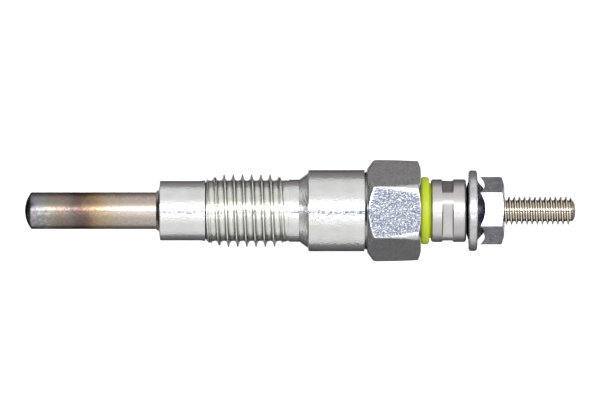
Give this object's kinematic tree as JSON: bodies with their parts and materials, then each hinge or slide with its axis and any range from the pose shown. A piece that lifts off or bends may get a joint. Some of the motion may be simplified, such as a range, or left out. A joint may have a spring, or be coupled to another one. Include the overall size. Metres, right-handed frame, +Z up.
{
  "type": "diesel glow plug",
  "caption": "Sheathed-element glow plug: domed heater tube in a plated steel housing with thread, sealing cone and hexagon, insulated terminal stud with crimped collar, dished washer and nut.",
  "frame": {"origin": "on the plug's axis, at the shoulder behind the sealing cone", "axes": "+X along the axis from the heater tip to the terminal, +Z up with a flat of the hexagon facing straight down"},
  "size_m": [0.0749, 0.0138, 0.012],
  "materials": {
    "zinc_steel": "satin zinc plate over turned steel",
    "heat_tinted_steel": "satin steel with brown and grey heat tint",
    "coil_wire": "drawn resistance wire",
    "magnesia": "compacted powder",
    "seal_rubber": "matt",
    "nickel_steel": "warm nickel plate",
    "bush_plastic": "moulded, semi-matt",
    "collar_steel": "fine turned plate",
    "washer_steel": "bright zinc plate",
    "nut_steel": "bluish zinc plate"
  },
  "bodies": {
    "root": {"housing": "zinc_steel", "heater_sheath": "heat_tinted_steel", "heating_coil": "coil_wire", "regulating_coil": "coil_wire", "magnesia_filling": "magnesia", "sheath_seal": "seal_rubber", "terminal_rod": "nickel_steel", "o_ring": "seal_rubber", "insulating_bush": "bush_plastic", "crimp_collar": "collar_steel", "conical_washer": "washer_steel", "terminal_nut": "nut_steel"}
  },
  "joints": []
}
